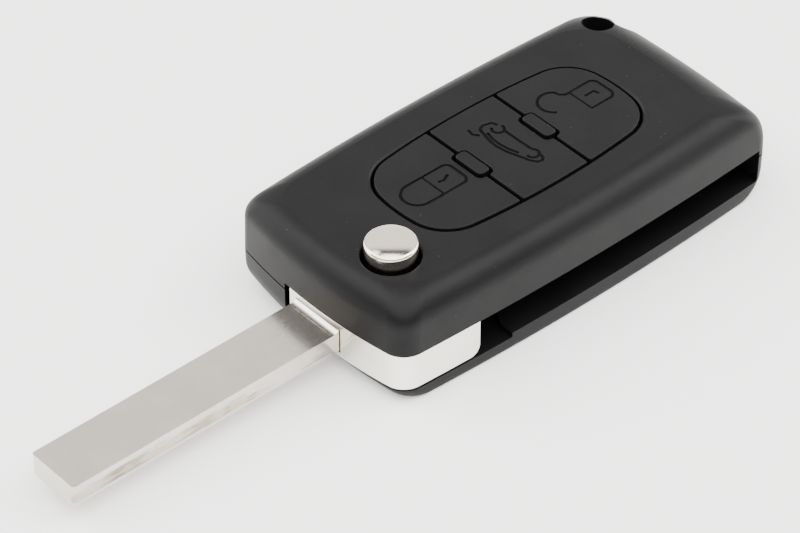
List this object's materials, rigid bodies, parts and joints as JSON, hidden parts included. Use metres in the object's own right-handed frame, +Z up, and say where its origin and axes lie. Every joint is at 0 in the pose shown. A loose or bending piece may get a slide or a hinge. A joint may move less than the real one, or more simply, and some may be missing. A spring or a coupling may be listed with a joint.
{
  "type": "folding key fob shell",
  "caption": "Folding car key shell: a black case with lock, boot and unlock keys and a release button, and a plain blade on a head that swings out of a side slot.",
  "frame": {"origin": "on the case's underside, on the axis of the release button and of the head's swing", "axes": "+X towards the tip of the unfolded blade, +Y out of the side with the blade's slot, +Z up through the keys"},
  "size_m": [0.1227, 0.0381, 0.0207],
  "materials": {
    "shell_black": "fine satin texture",
    "key_black": "soft matte",
    "mat_rubber": "matte",
    "frame_plastic": "matte",
    "head_chrome": "bright polished plating",
    "blade_nickel": "fine satin nickel",
    "button_chrome": "satin plating",
    "spring_steel": "plain wire",
    "cup_steel": "turned",
    "contact_nickel": "plated strip"
  },
  "bodies": {
    "case": {"front_shell": "shell_black", "rear_shell": "shell_black", "keypad_mat": "mat_rubber", "keypad_frame": "frame_plastic", "spring_cup": "cup_steel", "thrust_washer": "cup_steel", "flip_spring": "spring_steel", "negative_contact": "contact_nickel", "positive_contact": "contact_nickel"},
    "key_arm": {"flip_head": "head_chrome", "key_blade": "blade_nickel", "blade_pin": "spring_steel"},
    "button": {"release_button": "button_chrome", "spindle_clip": "spring_steel"},
    "lock_cap": {"lock_key": "key_black"},
    "boot_cap": {"boot_key": "key_black"},
    "unlock_cap": {"unlock_key": "key_black"}
  },
  "joints": [
    {"name": "blade_swing", "type": "hinge", "parent": "case", "child": "key_arm", "pos_m": [0, 0, 0], "axis": [0, 0, 1], "range_deg": [0, 180], "stiffness_Nm_per_rad": 0.008, "springref_deg": -28.65, "deforming": ["flip_spring"]},
    {"name": "release_press", "type": "slide", "parent": "key_arm", "child": "button", "axis": [0, 0, -1], "range_m": [0, 0.002], "stiffness_N_per_m": 1500, "springref_m": -0.002, "deforming": ["flip_spring"]},
    {"name": "lock_press", "type": "slide", "parent": "case", "child": "lock_cap", "axis": [0, 0, -1], "range_m": [0, 0.0005], "stiffness_N_per_m": 2500, "springref_m": -0.0004, "deforming": ["keypad_mat"]},
    {"name": "boot_press", "type": "slide", "parent": "case", "child": "boot_cap", "axis": [0, 0, -1], "range_m": [0, 0.0005], "stiffness_N_per_m": 2500, "springref_m": -0.0004, "deforming": ["keypad_mat"]},
    {"name": "unlock_press", "type": "slide", "parent": "case", "child": "unlock_cap", "axis": [0, 0, -1], "range_m": [0, 0.0005], "stiffness_N_per_m": 2500, "springref_m": -0.0004, "deforming": ["keypad_mat"]}
  ]
}
